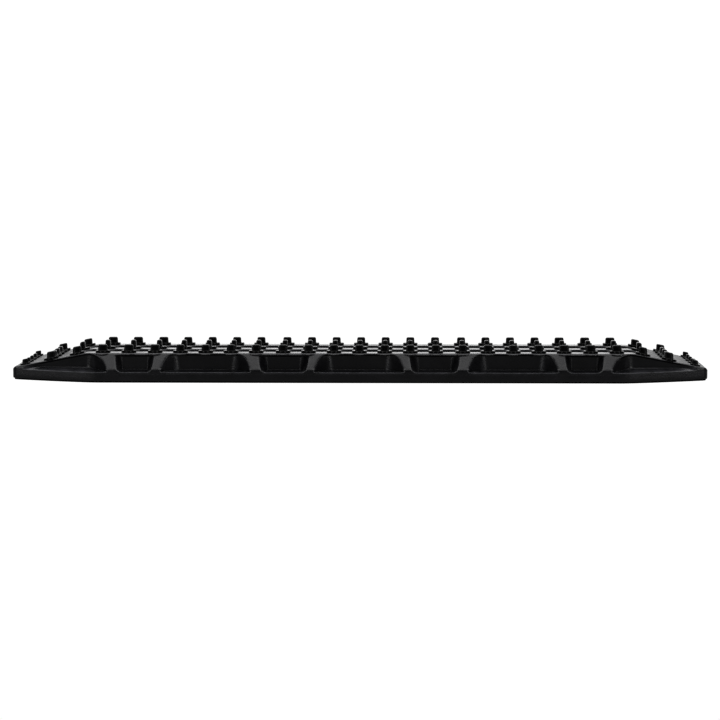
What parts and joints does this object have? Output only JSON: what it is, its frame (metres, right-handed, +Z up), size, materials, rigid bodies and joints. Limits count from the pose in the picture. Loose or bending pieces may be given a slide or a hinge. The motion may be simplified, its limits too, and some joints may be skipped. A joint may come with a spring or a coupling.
{
  "type": "snowboard stomp pad",
  "caption": "Long low black grip pad with ramped ends, buttressed and pocketed sides, ridges and rows of winged studs, on a self-adhesive base.",
  "frame": {"origin": "centre of the footprint, on the surface that the pad is stuck to", "axes": "+X along the pad's length, +Y across it, +Z up out of the deck"},
  "size_m": [0.2, 0.0388, 0.0108],
  "materials": {
    "deck_rubber": "moulded satin, fine grain",
    "tray_nylon": "moulded satin, fine grain",
    "adhesive_foam": "matt closed-cell foam tape",
    "stud_nylon": "moulded satin"
  },
  "bodies": {
    "root": {"grip_deck": "deck_rubber", "base_tray": "tray_nylon", "adhesive_sheet": "adhesive_foam", "studs_mid": "stud_nylon", "studs_left_01": "stud_nylon", "studs_left_02": "stud_nylon", "studs_left_03": "stud_nylon", "studs_left_04": "stud_nylon", "studs_left_05": "stud_nylon", "studs_left_06": "stud_nylon", "studs_left_07": "stud_nylon", "studs_left_08": "stud_nylon", "studs_left_09": "stud_nylon", "studs_left_10": "stud_nylon", "studs_left_11": "stud_nylon", "studs_left_12": "stud_nylon", "studs_left_13": "stud_nylon", "studs_right_01": "stud_nylon", "studs_right_02": "stud_nylon", "studs_right_03": "stud_nylon", "studs_right_04": "stud_nylon", "studs_right_05": "stud_nylon", "studs_right_06": "stud_nylon", "studs_right_07": "stud_nylon", "studs_right_08": "stud_nylon", "studs_right_09": "stud_nylon", "studs_right_10": "stud_nylon", "studs_right_11": "stud_nylon", "studs_right_12": "stud_nylon", "studs_right_13": "stud_nylon"}
  },
  "joints": []
}
